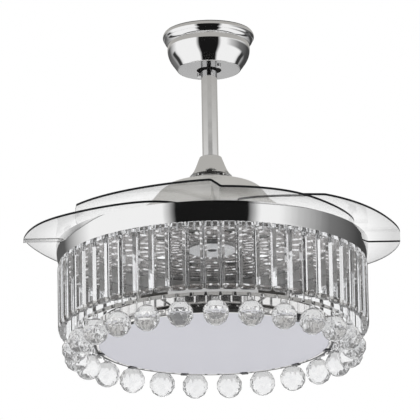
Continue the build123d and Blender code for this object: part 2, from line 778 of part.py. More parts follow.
def blade_arm(crease):
    pivot = at(pivot_azimuth, pivot_circle_r)
    toothed = Rot(0, 0, pivot_azimuth + 180) * gear(blade_gear_teeth, True)
    arm = Pos(pivot[0], pivot[1], 0) * toothed
    arm += rod_along_z(arm_sleeve_r, gear_top_depth, blade_bottom_depth, pivot)
    plate_top = blade_top_depth - arm_plate_thickness
    middle = rivet_place(arm_plate_length / 2)
    tongue = Rot(0, 0, pivot_azimuth + arm_plate_direction) * block(
        arm_plate_length, arm_plate_width, plate_top, blade_top_depth)
    arm += Pos(middle[0], middle[1], 0) * tongue
    arm += rod_along_z(arm_flange_r, gear_bottom_depth + arm_flange_gap, plate_top, pivot)
    for place in (pivot, rivet_place(arm_plate_length)):
        arm += rod_along_z(arm_plate_width / 2, plate_top, blade_top_depth, place)
    for distance in (rivet_first, rivet_second):
        place = rivet_place(distance)
        arm += rod_along_z(rivet_r, plate_top, blade_bottom_depth + rivet_head_height / 2, place)
        arm += rod_along_z(rivet_head_r, blade_bottom_depth, blade_bottom_depth + rivet_head_height, place)
    arm -= drill(pivot_r + running_gap, gear_top_depth, blade_bottom_depth, pivot)
    return Rot(0, 0, crease) * arm


def pivot_screws():
    screws = []
    for crease in blade_creases:
        place = at(crease + pivot_azimuth, pivot_circle_r)
        head_top = blade_bottom_depth + bearing_end_gap
        screw = rod_along_z(pivot_thread_r, plate_top_depth, plate_bottom_depth, place)
        screw += rod_along_z(pivot_r, plate_bottom_depth, head_top, place)
        screw += rod_along_z(pivot_head_r, head_top, head_top + pivot_head_height, place)
        screws.append(screw)
    return screws


def light_plate():
    plate = tube_along_z(light_plate_r, shaft_r + fit_gap, light_plate_top_depth, light_plate_bottom_depth)
    top, bottom = light_plate_top_depth, light_plate_bottom_depth
    vent = drill(light_plate_vent_r, top, bottom, (light_plate_vent_circle_r, 0))
    for cut in around(vent, light_plate_vent_count):
        plate -= cut
    stud = drill(stud_r + fit_gap, top, bottom, (stud_circle_r, 0))
    for cut in around(stud, stud_count, stud_azimuth):
        plate -= cut
    return plate


def chrome_band():
    middle = (band_top_depth + band_bottom_depth) / 2
    top_r, bottom_r, bulge_r = band_top_r, band_bottom_r, band_bulge_r
    flange_low = band_top_depth + band_wall
    ledge_high = band_bottom_depth - band_wall
    edges = [
        ThreePointArc((top_r, 0, -band_top_depth), (bulge_r, 0, -middle), (bottom_r, 0, -band_bottom_depth)),
        Line((bottom_r, 0, -band_bottom_depth), (band_flange_r, 0, -band_bottom_depth)),
        Line((band_flange_r, 0, -band_bottom_depth), (band_flange_r, 0, -ledge_high)),
        Line((band_flange_r, 0, -ledge_high), (bottom_r - band_wall, 0, -ledge_high)),
        ThreePointArc((bottom_r - band_wall, 0, -ledge_high), (bulge_r - band_wall, 0, -middle),
                      (top_r - band_wall, 0, -flange_low)),
        Line((top_r - band_wall, 0, -flange_low), (band_flange_r, 0, -flange_low)),
        Line((band_flange_r, 0, -flange_low), (band_flange_r, 0, -band_top_depth)),
        Line((band_flange_r, 0, -band_top_depth), (top_r, 0, -band_top_depth)),
    ]
    band = turned_from_edges(*edges)
    hole = drill(bar_screw_r + fit_gap, ledge_high, band_bottom_depth,
                       (bar_screw_circle_r, 0))
    for cut in around(hole, bar_count):
        band -= cut
    return band


def band_bumpers():
    top = band_top_depth - bumper_height
    pad = block(bumper_width, bumper_length, top, band_top_depth, (bumper_circle_r, 0))
    pad = fillet(pad.edges().filter_by(Axis.Z), bumper_width / 4)
    return [Rot(0, 0, azimuth) * pad for azimuth in bumper_azimuths]


def crystal_bar():
    """Clear bar with bevelled long edges and ends that taper in, on the +X side."""
    side, chamfer = bar_width / 2, bar_side_chamfer
    outer, inner = bar_outer_r, bar_inner_r
    high, low = -bar_top_depth - bar_end_length, -bar_bottom_depth + bar_end_length
    corners = [(outer, chamfer - side), (outer, side - chamfer),
               (outer - chamfer, side), (inner + chamfer, side),
               (inner, side - chamfer), (inner, chamfer - side), (inner + chamfer, -side),
               (outer - chamfer, -side)]
    section = make_face(Polyline(*corners, close=True))
    taper = math.degrees(math.atan2(bar_end_inset, bar_end_length))
    bar = extrude(Pos(0, 0, low) * section, high - low, dir=(0, 0, 1))
    bar += extrude(Pos(0, 0, high) * section, bar_end_length, dir=(0, 0, 1), taper=taper)
    bar += extrude(Pos(0, 0, low) * section, bar_end_length, dir=(0, 0, -1), taper=taper)
    hole = rod_along_z(bar_screw_r + fit_gap, bar_top_depth - cut_overrun,
                       bar_top_depth + bar_screw_length + bar_screw_end_gap, (bar_screw_circle_r, 0))
    return bar - hole


def crystal_screw():
    head_bottom = band_bottom_depth - band_wall
    place = (bar_screw_circle_r, 0)
    head = rod_along_z(bar_screw_head_r, head_bottom - bar_screw_head_height, head_bottom, place)
    return head + rod_along_z(bar_screw_r, head_bottom, bar_top_depth + bar_screw_length, place)


def led_tray():
    inner_r = tray_r - tray_wall
    roof_bottom = tray_top_depth + tray_wall
    lip_top = tray_bottom_depth - tray_wall
    tray = turned([(0, tray_top_depth), (tray_r - tray_corner, tray_top_depth),
                   (tray_r, tray_top_depth + tray_corner), (tray_r, tray_bottom_depth),
                   (tray_lip_r, tray_bottom_depth), (tray_lip_r, lip_top), (inner_r, lip_top),
                   (inner_r, roof_bottom + tray_corner), (inner_r - tray_corner, roof_bottom),
                   (0, roof_bottom)])
    stud = rod_along_z(stud_r, light_plate_top_depth - stud_nut_height, tray_top_depth + tray_wall / 2,
                       (stud_circle_r, 0))
    for nut_top in (light_plate_top_depth - stud_nut_height, light_plate_bottom_depth):
        stud += rod_along_z(stud_nut_r, nut_top, nut_top + stud_nut_height, (stud_circle_r, 0))
    for piece in around(stud, stud_count, stud_azimuth):
        tray += piece
    return tray


def led_board():
    top = tray_top_depth + tray_wall
    board = tube_along_z(board_outer_r, board_inner_r, top, top + board_thickness)
    for share in lamp_rows_share:
        lamp = block(lamp_size, lamp_size, top + board_thickness / 2, top + board_thickness + lamp_height,
                     (board_outer_r * share, 0))
        for piece in around(lamp, lamp_count):
            board += piece
    return board


def led_driver():
    place = (0, driver_offset)
    box = block(driver_length, driver_width, tray_top_depth - driver_height, tray_top_depth, place)
    box = fillet(box.edges().filter_by(Axis.Z), driver_foot / 3)
    feet = block(driver_length + 2 * driver_foot, driver_width / 2, tray_top_depth - driver_foot_thickness,
                 tray_top_depth, place)
    return box + feet


def diffuser():
    flange_bottom = tray_bottom_depth - tray_wall
    flange_top = flange_bottom - diffuser_flange_thickness
    return turned([(0, flange_top), (diffuser_flange_r, flange_top), (diffuser_flange_r, flange_bottom),
                   (diffuser_r, flange_bottom), (diffuser_r, tray_bottom_depth), (0, tray_bottom_depth)])


def ball_ring():
    half = ring_strip_thickness / 2
    strip_top = ring_strip_bottom_depth - ring_strip_height
    ring = tube_along_z(pendant_circle_r + half, pendant_circle_r - half, strip_top, ring_strip_bottom_depth)
    start = tray_r + fit_gap
    spoke_length = pendant_circle_r - start
    spoke = Pos(start + spoke_length / 2, 0, -spoke_depth) * Rot(0, 90, 0) * Cylinder(spoke_r, spoke_length)
    pieces = around(spoke, spoke_count, spoke_azimuth)
    wire = Rot(90, 0, 0) * Cylinder(hook_wire_r, 2 * hook_half_span)
    staple = Pos(pendant_circle_r, 0, -hook_depth) * wire
    for side in (-1, 1):
        staple += rod_along_z(hook_leg_r, ring_strip_bottom_depth - hook_leg_r, hook_depth + hook_leg_r,
                              (pendant_circle_r, side * hook_half_span))
    pieces += around(staple, pendant_count, pendant_azimuth)
    return ring.fuse(*pieces)


def crystal_ball():
    """Ball of flat facets with a drilled lug on top, hanging on the +X side."""
    rings = []
    for row, latitude in enumerate(pendant_latitudes):
        level = math.radians(latitude)
        turn = 180 / pendant_columns * (row % 2)
        radius, height = pendant_r * math.cos(level), pendant_r * math.sin(level)
        points = [at(turn + 360 / pendant_columns * k, radius, height) for k in range(pendant_columns)]
        rings.append(points)
    faces = [Face(Wire.make_polygon(rings[0])), Face(Wire.make_polygon(rings[-1]))]
    for row, (upper, lower) in enumerate(zip(rings, rings[1:])):
        for k in range(pendant_columns):
            after = (k + 1) % pendant_columns
            below, above = (k, after) if row % 2 == 0 else (after, k)
            faces.append(Face(Wire.make_polygon([upper[k], upper[after], lower[below]])))
            faces.append(Face(Wire.make_polygon([lower[k], lower[after], upper[above]])))
    ball = Pos(pendant_circle_r, 0, -pendant_depth) * Solid(Shell(faces))
    lug_top = hook_depth - lug_above_hole
    ball += rod_along_z(lug_r, lug_top, pendant_depth - pendant_r / 2, (pendant_circle_r, 0))
    hole = Pos(pendant_circle_r, 0, -hook_depth) * Rot(90, 0, 0) * Cylinder(
        hook_wire_r + running_gap, lug_r * 2 + cut_overrun)
    return ball - hole


def main():
    os.makedirs("parts", exist_ok=True)
    save("ceiling_bracket", ceiling_bracket())
    save("canopy", canopy())
    save("canopy_screws", *canopy_screws())
    save("hanger_ball", hanger_ball())
    save("downrod", downrod())
    save("coupling_cover", coupling_cover())
    save("motor_shaft", motor_shaft())
    save("motor_bearings", bearing(upper_bearing_depth), bearing(lower_bearing_depth))
    save("stator_core", stator_core())
    save("stator_windings", *stator_windings())
    save("rotor_shell", rotor_shell())
    save("rotor_magnets", *rotor_magnets())
    save("hub_cover", hub_cover())
    save("blade_plate", blade_plate())
    save("pivot_screws", *pivot_screws())
    save("return_spring", return_spring())
    save("sync_gear", sync_gear())
    for number, crease in enumerate(blade_creases, start=1):
        save("blade_" + str(number), blade(crease))
        save("blade_arm_" + str(number), blade_arm(crease))
    save("light_plate", light_plate())
    save("chrome_band", chrome_band())
    save("band_bumpers", *band_bumpers())
    save("crystal_bars", *around(crystal_bar(), bar_count))
    save("frame_fasteners", *rod_pins(), *around(crystal_screw(), bar_count))
    save("led_tray", led_tray())
    save("led_board", led_board())
    save("led_driver", led_driver())
    save("diffuser", diffuser())
    save("ball_ring", ball_ring())
    for number, ball in enumerate(around(crystal_ball(), pendant_count, pendant_azimuth), start=1):
        save("crystal_ball_" + str(number).zfill(2), ball)


main()
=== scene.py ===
"""Looks, light and camera for the crystal ceiling fan. Metres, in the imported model's own frame."""

import json
import math

import bmesh
import bpy
from mathutils import Matrix, Vector


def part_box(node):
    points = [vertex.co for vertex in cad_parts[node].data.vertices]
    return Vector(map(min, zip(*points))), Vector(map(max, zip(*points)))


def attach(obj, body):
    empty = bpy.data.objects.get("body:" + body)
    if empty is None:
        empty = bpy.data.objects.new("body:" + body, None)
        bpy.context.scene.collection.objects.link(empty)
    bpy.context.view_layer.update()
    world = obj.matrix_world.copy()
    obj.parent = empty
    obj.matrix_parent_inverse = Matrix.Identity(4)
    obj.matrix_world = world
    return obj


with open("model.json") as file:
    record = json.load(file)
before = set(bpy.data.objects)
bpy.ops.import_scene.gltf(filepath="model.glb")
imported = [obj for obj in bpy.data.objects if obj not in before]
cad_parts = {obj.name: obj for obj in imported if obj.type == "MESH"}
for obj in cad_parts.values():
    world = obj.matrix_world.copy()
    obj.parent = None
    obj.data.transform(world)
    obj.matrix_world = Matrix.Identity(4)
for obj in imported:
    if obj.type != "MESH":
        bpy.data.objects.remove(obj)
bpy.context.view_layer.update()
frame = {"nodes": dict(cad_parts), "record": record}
nodes = frame["nodes"]
scene = bpy.context.scene

# Camera, fitted to the photograph
IMAGE_SIZE = 420
FOCAL_PX = 5318
CAMERA_DISTANCE = 7.055
CAMERA_PITCH = math.radians(16.8)
CAMERA_ROLL = 0.018
CAMERA_REACH = 100
AIM = Vector((-0.002, 0, -0.2465))
SENSOR = 36.0

# Floor, and the lights as name, place, size and power
FLOOR_DEPTH = 2.6
FLOOR_HALF_SIZE = 30.0
FLOOR_CORNERS = ((-1, -1), (1, -1), (1, 1), (-1, 1))
LIGHT_TARGET = (0, 0, -0.28)
LIGHTS = [
    ("key", (-1.8, -2.2, 0.9), 1.6, 40),
    ("fill", (2.2, -1.6, -0.2), 1.8, 18),
    ("rim", (0.5, 2.2, 1.2), 1.4, 20),
]

# Clips under the tray's lip
CLIP_COUNT = 12
CLIP_START = 15.0
CLIP_WIDTH = 0.009
CLIP_REACH = 0.0075
CLIP_RISE = 0.008
CLIP_THICKNESS = 0.0009
CLIP_GAP = 0.00015
CLIP_EDGE = 0.0002
CLIP_EDGE_STEPS = 2

# Room that polished pieces see, as pairs of an angle in degrees and a level. The angle is the height
# above the horizon in WALLS, REAR and the REACH tables. In the others it is the turn away from the
# camera's side. The horizon is the middle of a ramp.
HALF_TURN = 180
RAMP_MIDDLE = 0.5
CEILING = (0.46, 0.45, 0.43, 1)
WALLS = [
    (-90, 0.85), (-66, 0.85), (-62, 0.03), (-54, 0.03), (-50, 1.0), (16.8, 1.0), (18.0, CEILING),
]
REAR = [
    (-90, 0.85), (-40, 0.7), (-22, 0.35), (-12, 0.2), (-4, 0.16), (5, 0.12), (14, 0.1), (18, CEILING),
]
REAR_SPAN = [(100, 0), (138, 1)]
GLOW_SPAN = [(171, 0), (175, 1)]
GLOW_REACH = [(-26, 0), (-21, 1), (-13, 1), (-9, 0)]
SEAM_LEVEL = 0.04
SEAM_SPAN = [(108, 0), (114, 1), (124, 1), (130, 0)]
SEAM_REACH = [(-62, 0), (-56, 1), (-6, 1), (-2, 0)]
CURTAIN = [(50, 1.0), (66, 0.6), (95, 0.2), (136, 0.06)]
CURTAIN_REACH = [(-14, 0), (-7, 1), (14, 1), (16.5, 0)]
GAP_LEVEL = 0.01
GAP_SPAN = [(26, 1), (36, 0)]
GAP_REACH = [(-62, 0), (-56, 1), (17.0, 1), (17.7, 0)]
MATT_LEVEL = 0.85

# Sockets of a colour mix, by number
COLOUR_A = 6
COLOUR_B = 7
COLOUR_RESULT = 2

# Which way a face looks: the upright part of its normal, and for CUP_INWARD the part away from the axis
UPWARD = 0.5
DOWNWARD = -0.9
CUP_FLOOR = -0.985
CUP_INWARD = -0.1

# Surfaces
NOISE_LOW = 0.3
NOISE_HIGH = 0.7
AT_LEAST_ONE = 0.5
GRAIN_HEIGHT = 0.0002
CHROME_LEVEL = 0.86
CHROME_ROUGH = (0.03, 0.07)
CUP_FLOOR_LEVEL = 0.38
CUP_FLOOR_ROUGH = 0.12
STEEL_COLOUR = (0.86, 0.85, 0.84, 1)
GLASS_PASSED = 0.9

# Clear blades: level of the painted shade by distance from the axis (the outer part painted darker), the
# index, and the light a shadow lets by
PANE_SHADE = [(0.2, 0.97), (0.24, 0.68)]
PANE_SHADE_REACH = 0.25
PANE_INDEX = 1.15
PANE_PASSED = 0.93


def make_camera():
    ahead = Vector((0, math.cos(CAMERA_PITCH), math.sin(CAMERA_PITCH)))
    level_right = Vector((1, 0, 0))
    level_up = level_right.cross(ahead)
    up = level_up * math.cos(CAMERA_ROLL) + level_right * math.sin(CAMERA_ROLL)
    right = level_right * math.cos(CAMERA_ROLL) - level_up * math.sin(CAMERA_ROLL)
    data = bpy.data.cameras.new("camera")
    data.sensor_width = SENSOR
    data.sensor_fit = "HORIZONTAL"
    data.lens = FOCAL_PX * SENSOR / IMAGE_SIZE
    data.clip_end = CAMERA_REACH
    camera = bpy.data.objects.new("camera", data)
    turn = Matrix((right, up, -ahead)).transposed().to_4x4()
    camera.matrix_world = Matrix.Translation(AIM - ahead * CAMERA_DISTANCE) @ turn
    scene.collection.objects.link(camera)
    scene.camera = camera


def grey(level):
    return (level, level, level, 1)


def scaled(colour, factor):
    """Colour made lighter or darker, and no brighter than white."""
    return tuple(min(1, channel * factor) for channel in colour[:3]) + (1,)


class Nodes:
    """Short way to write a node tree."""

    def __init__(self, tree):
        self.tree = tree
        tree.nodes.clear()

    def add(self, kind, settings=None, inputs=None):
        node = self.tree.nodes.new(kind)
        for name, value in (settings or {}).items():
            setattr(node, name, value)
        for name, value in (inputs or {}).items():
            if isinstance(value, bpy.types.NodeSocket):
                self.tree.links.new(value, node.inputs[name])
            else:
                node.inputs[name].default_value = value
        return node

    def math(self, operation, first, second=0.0):
        return self.add("ShaderNodeMath", {"operation": operation}, {0: first, 1: second}).outputs[0]

    def above(self, value, limit):
        """1 where a value is over the limit, and 0 elsewhere."""
        return self.math("GREATER_THAN", value, limit)

    def below(self, value, limit):
        """1 where a value is under the limit, and 0 elsewhere."""
        return self.math("LESS_THAN", value, limit)

    def vector(self, operation, inputs):
        return self.add("ShaderNodeVectorMath", {"operation": operation}, inputs).outputs

    def split(self, vector):
        return self.add("ShaderNodeSeparateXYZ", None, {0: vector}).outputs

    def place(self, stretch=(1, 1, 1)):
        """The point on the piece, in its own coordinates."""
        point = self.add("ShaderNodeTexCoord").outputs["Object"]
        inputs = {"Vector": point, "Scale": stretch}
        return self.add("ShaderNodeMapping", None, inputs).outputs["Vector"]

    def flattened(self, place):
        """The same vector without its upright part."""
        return self.vector("MULTIPLY", {0: place, 1: (1, 1, 0)})[0]

    def from_axis(self, place):
        """Distance from the part's upright axis."""
        return self.vector("LENGTH", {0: self.flattened(place)})["Value"]

    def normal(self):
        return self.add("ShaderNodeNewGeometry").outputs["True Normal"]

    def facing_up(self):
        """1 on a face that looks up, and -1 on one that looks down."""
        return self.split(self.normal())["Z"]

    def is_mirrored(self):
        """1 for a ray that a polished face has thrown back, and 0 for one that clear pieces let pass."""
        return self.above(self.add("ShaderNodeLightPath").outputs["Glossy Depth"], AT_LEAST_ONE)

    def ramp(self, factor, stops):
        node = self.add("ShaderNodeValToRGB", None, {"Fac": factor})
        elements = node.color_ramp.elements
        while len(elements) < len(stops):
            elements.new(RAMP_MIDDLE)
        for element, (place, level) in zip(elements, stops):
            element.position = place
            element.color = level if isinstance(level, tuple) else grey(level)
        return node.outputs["Color"]

    def noise(self, place, scale, detail=3):
        inputs = {"Vector": place, "Scale": scale, "Detail": detail}
        return self.add("ShaderNodeTexNoise", None, inputs).outputs["Fac"]

    def spread(self, value, low, high):
        """Maps a noise value from its usual span to low..high."""
        span = {"From Min": NOISE_LOW, "From Max": NOISE_HIGH, "To Min": low, "To Max": high}
        return self.add("ShaderNodeMapRange", None, {"Value": value, **span}).outputs[0]

    def wave(self, value, pitch):
        return self.math("SINE", self.math("MULTIPLY", value, 2 * math.pi / pitch))

    def mix_colour(self, factor, first, second):
        """The first colour at factor 0 and the second at factor 1."""
        inputs = {0: factor, COLOUR_A: first, COLOUR_B: second}
        return self.add("ShaderNodeMix", {"data_type": "RGBA"}, inputs).outputs[COLOUR_RESULT]

    def bump(self, height, strength, distance=GRAIN_HEIGHT):
        inputs = {"Height": height, "Strength": strength, "Distance": distance}
        return self.add("ShaderNodeBump", None, inputs).outputs["Normal"]

    def surface(self, inputs):
        return self.add("ShaderNodeBsdfPrincipled", None, inputs).outputs[0]

    def blend(self, factor, first, second):
        """The first shader at factor 0 and the second at factor 1."""
        return self.add("ShaderNodeMixShader", None, {0: factor, 1: first, 2: second}).outputs[0]


def new_material(name):
    material = bpy.data.materials.new(name)
    material.use_nodes = True
    return material, Nodes(material.node_tree)


def finish_material(material, tree, shader):
    tree.add("ShaderNodeOutputMaterial", None, {"Surface": shader})
    return material


def finish_glass(material, tree, shader, passed):
    """Clear material whose shadow is only a faint one, as it is under real clear sheet."""
    paths = tree.add("ShaderNodeLightPath").outputs
    unseen = tree.math("MAXIMUM", paths["Is Shadow Ray"], paths["Is Diffuse Ray"])
    clear = tree.add("ShaderNodeBsdfTransparent", None, {"Color": grey(passed)}).outputs[0]
    return finish_material(material, tree, tree.blend(unseen, shader, clear))


def wiping_marks(tree):
    return tree.noise(tree.place(stretch=(1, 1, 3)), scale=18, detail=4)


def chrome(name, level=CHROME_LEVEL, rough=CHROME_ROUGH):
    """Polished plating with faint wiping marks in its gloss."""
    material, tree = new_material(name)
    cloud = tree.noise(tree.place(), scale=9, detail=2)
    shader = tree.surface({
        "Base Color": tree.mix_colour(cloud, grey(level), grey(level * 0.95)),
        "Metallic": 1.0,
        "Roughness": tree.spread(wiping_marks(tree), *rough),
    })
    return finish_material(material, tree, shader)


def plated_cup(name):
    """Polished outside, duller on its flat floor, and bare dark metal inside."""
    material, tree = new_material(name)
    outward = tree.vector("NORMALIZE", {0: tree.flattened(tree.place())})[0]
    facing_out = tree.vector("DOT_PRODUCT", {0: tree.normal(), 1: outward})["Value"]
    facing_up = tree.facing_up()
    is_inside = tree.math("MAXIMUM", tree.below(facing_out, CUP_INWARD), tree.above(facing_up, UPWARD))
    is_floor = tree.below(facing_up, CUP_FLOOR)
    marks = wiping_marks(tree)
    dulled = tree.math("MULTIPLY", is_floor, CUP_FLOOR_ROUGH)
    polished = tree.surface({
        "Base Color": tree.mix_colour(is_floor, grey(CHROME_LEVEL), grey(CUP_FLOOR_LEVEL)),
        "Metallic": 1.0,
        "Roughness": tree.math("ADD", tree.spread(marks, *CHROME_ROUGH), dulled),
    })
    bare = tree.surface({
        "Base Color": tree.mix_colour(marks, grey(0.02), grey(0.035)),
        "Metallic": 0.0,
        "Roughness": tree.spread(marks, 0.5, 0.7),
    })
    return finish_material(material, tree, tree.blend(is_inside, polished, bare))


def painted_reflection_pattern(tree, place, away, columns, pitch):
    """Soft light and dark squares, in columns round the axis and rows away from it: a painted reflection
    of the crystal bars.
    """
    sides = tree.split(place)
    turn = tree.math("ARCTAN2", sides["Y"], sides["X"])
    across = tree.math("SINE", tree.math("MULTIPLY", turn, columns))
    return tree.spread(tree.math("MULTIPLY", across, tree.wave(away, pitch)), 0.0, 1.0)


def mirror_plate(name, mirror_r, ripple_pitch, ripple_height, reflection_columns, reflection_pitch):
    """Plate, white on top. Below, its middle is a mirror with pressed rings and a painted reflection of
    light and dark squares in its colour, and the rest is satin.
    """
    material, tree = new_material(name)
    place = tree.place()
    away = tree.from_axis(place)
    cloud = tree.noise(place, scale=12)
    # Painted reflection: light and dark squares of the crystal bars, put into the mirror's base colour
    painted_reflection = painted_reflection_pattern(tree, place, away, reflection_columns, reflection_pitch)
    mirror = tree.surface({
        "Base Color": tree.mix_colour(painted_reflection, (0.10, 0.085, 0.075, 1), STEEL_COLOUR),
        "Metallic": 1.0,
        "Roughness": tree.spread(cloud, 0.02, 0.05),
        "Normal": tree.bump(tree.wave(away, ripple_pitch), strength=1.0, distance=ripple_height),
    })
    satin = tree.surface({
        "Base Color": tree.mix_colour(cloud, (0.26, 0.248, 0.235, 1), (0.22, 0.208, 0.197, 1)),
        "Metallic": 0.6,
        "Roughness": tree.spread(cloud, 0.35, 0.45),
    })
    paint = tree.surface({
        "Base Color": tree.mix_colour(cloud, grey(0.9), grey(0.86)),
        "Roughness": tree.spread(cloud, 0.4, 0.5),
    })
    underside = tree.blend(tree.above(away, mirror_r), mirror, satin)
    is_top = tree.above(tree.facing_up(), UPWARD)
    return finish_material(material, tree, tree.blend(is_top, underside, paint))


def brushed(name, level, rough=0.3, stretch=(1, 1, 60)):
    """Turned or brushed metal with fine lines along one axis."""
    material, tree = new_material(name)
    lines = tree.noise(tree.place(stretch), scale=40)
    shader = tree.surface({
        "Base Color": tree.mix_colour(lines, grey(level), scaled(grey(level), 1.25)),
        "Metallic": 1.0,
        "Roughness": tree.spread(lines, rough * 0.8, rough * 1.25),
        "Normal": tree.bump(lines, strength=0.15),
    })
    return finish_material(material, tree, shader)


def satin_paint(name, colour, metallic=0.0, rough=0.4):
    """Sprayed or moulded surface with a fine grain and slight unevenness of colour."""
    material, tree = new_material(name)
    place = tree.place()
    fine = tree.noise(place, scale=900, detail=2)
    cloud = tree.noise(place, scale=7)
    shader = tree.surface({
        "Base Color": tree.mix_colour(cloud, colour, scaled(colour, 0.93)),
        "Metallic": metallic,
        "Roughness": tree.spread(cloud, rough * 0.9, rough * 1.1),
        "Normal": tree.bump(fine, strength=0.12),
    })
    return finish_material(material, tree, shader)


def cut_glass(name, tint, clear, rough):
    """Glass whose flats keep a trace of the polisher and whose body scatters a little light."""
    material, tree = new_material(name)
    haze = tree.noise(tree.place(), scale=60)
    shader = tree.surface({
        "Base Color": tint,
        "Roughness": tree.spread(haze, rough / 2, rough),
        "IOR": 1.52,
        "Transmission Weight": clear,
    })
    return finish_glass(material, tree, shader, GLASS_PASSED)


def faceted_glass(name):
    """Cut glass whose small cells are each coloured slightly differently, a painted pattern of facet
    glints.
    """
    material, tree = new_material(name)
    # Painted glints: each small cell gets a slightly different brightness, standing in for facets
    # catching light
    facet_glint_cells = tree.add("ShaderNodeTexVoronoi", None, {"Vector": tree.place(), "Scale": 210.0})
    glint_pick = tree.split(facet_glint_cells.outputs["Color"])["X"]
    shader = tree.surface({
        "Base Color": tree.mix_colour(glint_pick, (0.90, 0.905, 0.915, 1), grey(1.0)),
        "Roughness": tree.math("MULTIPLY", glint_pick, 0.05),
        "IOR": 1.5,
        "Transmission Weight": 0.9,
    })
    return finish_glass(material, tree, shader, GLASS_PASSED)


def pressed_tray(name, lip_r):
    """Polished pressing; the underside of its lip round the mouth is coloured near black as painted
    shade.
    """
    material, tree = new_material(name)
    is_under = tree.below(tree.facing_up(), DOWNWARD)
    is_lip = tree.math("MULTIPLY", is_under, tree.above(tree.from_axis(tree.place()), lip_r))
    lines = tree.noise(tree.place(stretch=(1, 1, 20)), scale=40)
    steel = tree.surface({
        "Base Color": tree.mix_colour(lines, STEEL_COLOUR, (0.94, 0.93, 0.92, 1)),
        "Metallic": 1.0,
        "Roughness": tree.spread(lines, 0.06, 0.1),
    })
    # Painted shade: the lip's underside is coloured near black
    dark = tree.surface({
        "Base Color": tree.mix_colour(lines, grey(0.05), grey(0.08)),
        "Metallic": 0.4,
        "Roughness": tree.spread(lines, 0.4, 0.5),
    })
    return finish_material(material, tree, tree.blend(is_lip, steel, dark))


def acrylic(name):
    """Clear sheet with polished faces; its cut edge is coloured near black, a painted reflection of the
    dark of the room.
    """
    material, tree = new_material(name)
    is_face = tree.above(tree.math("ABSOLUTE", tree.facing_up()), UPWARD)
    place = tree.place()
    haze = tree.noise(place, scale=25)
    # Painted shade: the blade's base colour is darker on its outer part, by distance from the axis
    share = tree.math("DIVIDE", tree.from_axis(place), PANE_SHADE_REACH)
    stops = [(radius / PANE_SHADE_REACH, level) for radius, level in PANE_SHADE]
    clear = tree.surface({
        "Base Color": tree.ramp(share, stops),
        "Roughness": tree.spread(haze, 0.0, 0.012),
        "IOR": PANE_INDEX,
        "Transmission Weight": 1.0,
    })
    # Painted reflection: the cut edge is coloured near black
    edge = tree.surface({
        "Base Color": (0.008, 0.009, 0.01, 1),
        "Roughness": tree.spread(haze, 0.2, 0.35),
        "IOR": 1.49,
        "Specular IOR Level": 0.12,
    })
    return finish_glass(material, tree, tree.blend(is_face, edge, clear), PANE_PASSED)


def opal(name):
    """Milky cover, unlit, with a soft sheen."""
    material, tree = new_material(name)
    place = tree.place()
    cloud = tree.noise(place, scale=5)
    fine = tree.noise(place, scale=700, detail=2)
    shader = tree.surface({
        "Base Color": tree.mix_colour(cloud, (0.74, 0.74, 0.80, 1), (0.70, 0.70, 0.76, 1)),
        "Roughness": tree.spread(cloud, 0.38, 0.5),
        "Normal": tree.bump(fine, strength=0.05),
    })
    return finish_material(material, tree, shader)


def wound_copper(name):
    """Enamelled wire, its turns shown as fine ridges."""
    material, tree = new_material(name)
    bands = {"wave_type": "BANDS", "bands_direction": "Z"}
    turns = {"Vector": tree.place(), "Scale": 160, "Distortion": 1.5}
    wave = tree.add("ShaderNodeTexWave", bands, turns).outputs["Fac"]
    shader = tree.surface({
        "Base Color": tree.mix_colour(wave, (0.35, 0.12, 0.04, 1), (0.62, 0.26, 0.10, 1)),
        "Metallic": 0.8,
        "Roughness": 0.3,
        "Normal": tree.bump(wave, strength=0.5, distance=0.0006),
    })
    return finish_material(material, tree, shader)


def make_materials():
    """One material for each slot of the record."""
    return {
        "ceiling_bracket": brushed("zinc_strip", 0.55, rough=0.35, stretch=(60, 1, 1)),
        "polished_canopy": plated_cup("chrome_canopy"),
        "screw_steel": brushed("plated_steel", 0.66, rough=0.25),
        "ball_plastic": satin_paint("dark_plastic", (0.02, 0.02, 0.022, 1), rough=0.45),
        "polished_rod": chrome("chrome_rod", 0.84),
        "polished_cover": chrome("chrome_cover", 0.93, rough=(0.05, 0.1)),
        "shaft_steel": brushed("turned_steel", 0.6),
        "bearing_steel": brushed("ground_steel", 0.68, rough=0.2),
        "stator_iron": satin_paint("varnished_iron", (0.08, 0.085, 0.095, 1), metallic=0.6),
        "copper_wire": wound_copper("copper_wire"),
        "shell_steel": brushed("zinc_shell", 0.6, rough=0.35),
        "magnet": satin_paint("coated_magnet", (0.05, 0.05, 0.055, 1), metallic=0.5, rough=0.35),
        "satin_hub": satin_paint("satin_hub_paint", (0.58, 0.572, 0.55, 1), metallic=0.45, rough=0.32),
        "plate_metal": brushed("cast_aluminium", 0.6, rough=0.4, stretch=(1, 1, 1)),
        "spring_steel": brushed("spring_steel", 0.35),
        "gear_plastic": satin_paint("moulded_gear", (0.75, 0.75, 0.72, 1), rough=0.45),
        "arm_metal": satin_paint("satin_arm", (0.55, 0.55, 0.56, 1), metallic=0.9, rough=0.28),
        "clear_acrylic": acrylic("clear_acrylic"),
        "light_plate_metal": mirror_plate("polished_plate", mirror_r=0.16, ripple_pitch=0.012,
                                          ripple_height=0.0002, reflection_columns=28, reflection_pitch=0.04),
        "polished_band": chrome("chrome_band", 0.88),
        "pad_rubber": satin_paint("black_rubber", (0.01, 0.01, 0.01, 1), rough=0.6),
        "bar_crystal": cut_glass("bar_crystal", (0.985, 0.99, 1.0, 1), clear=0.98, rough=0.02),
        "ball_crystal": faceted_glass("ball_crystal"),
        "mirror_tray": pressed_tray("tray_steel", lip_r=0.1545),
        "lamp_board": satin_paint("white_board", (0.85, 0.85, 0.80, 1), rough=0.5),
        "driver_case": satin_paint("white_case", (0.80, 0.80, 0.80, 1), rough=0.5),
        "opal_cover": opal("opal_cover"),
        "hoop_metal": chrome("chrome_hoop", 0.8),
    }


def dress_nodes():
    """Puts each slot's material on every node that uses the slot."""
    materials = make_materials()
    for entry in frame["record"]["subparts"]:
        for slot in nodes[entry["node"]].material_slots:
            slot.link = "OBJECT"
            slot.material = materials[entry["material_slot"]]


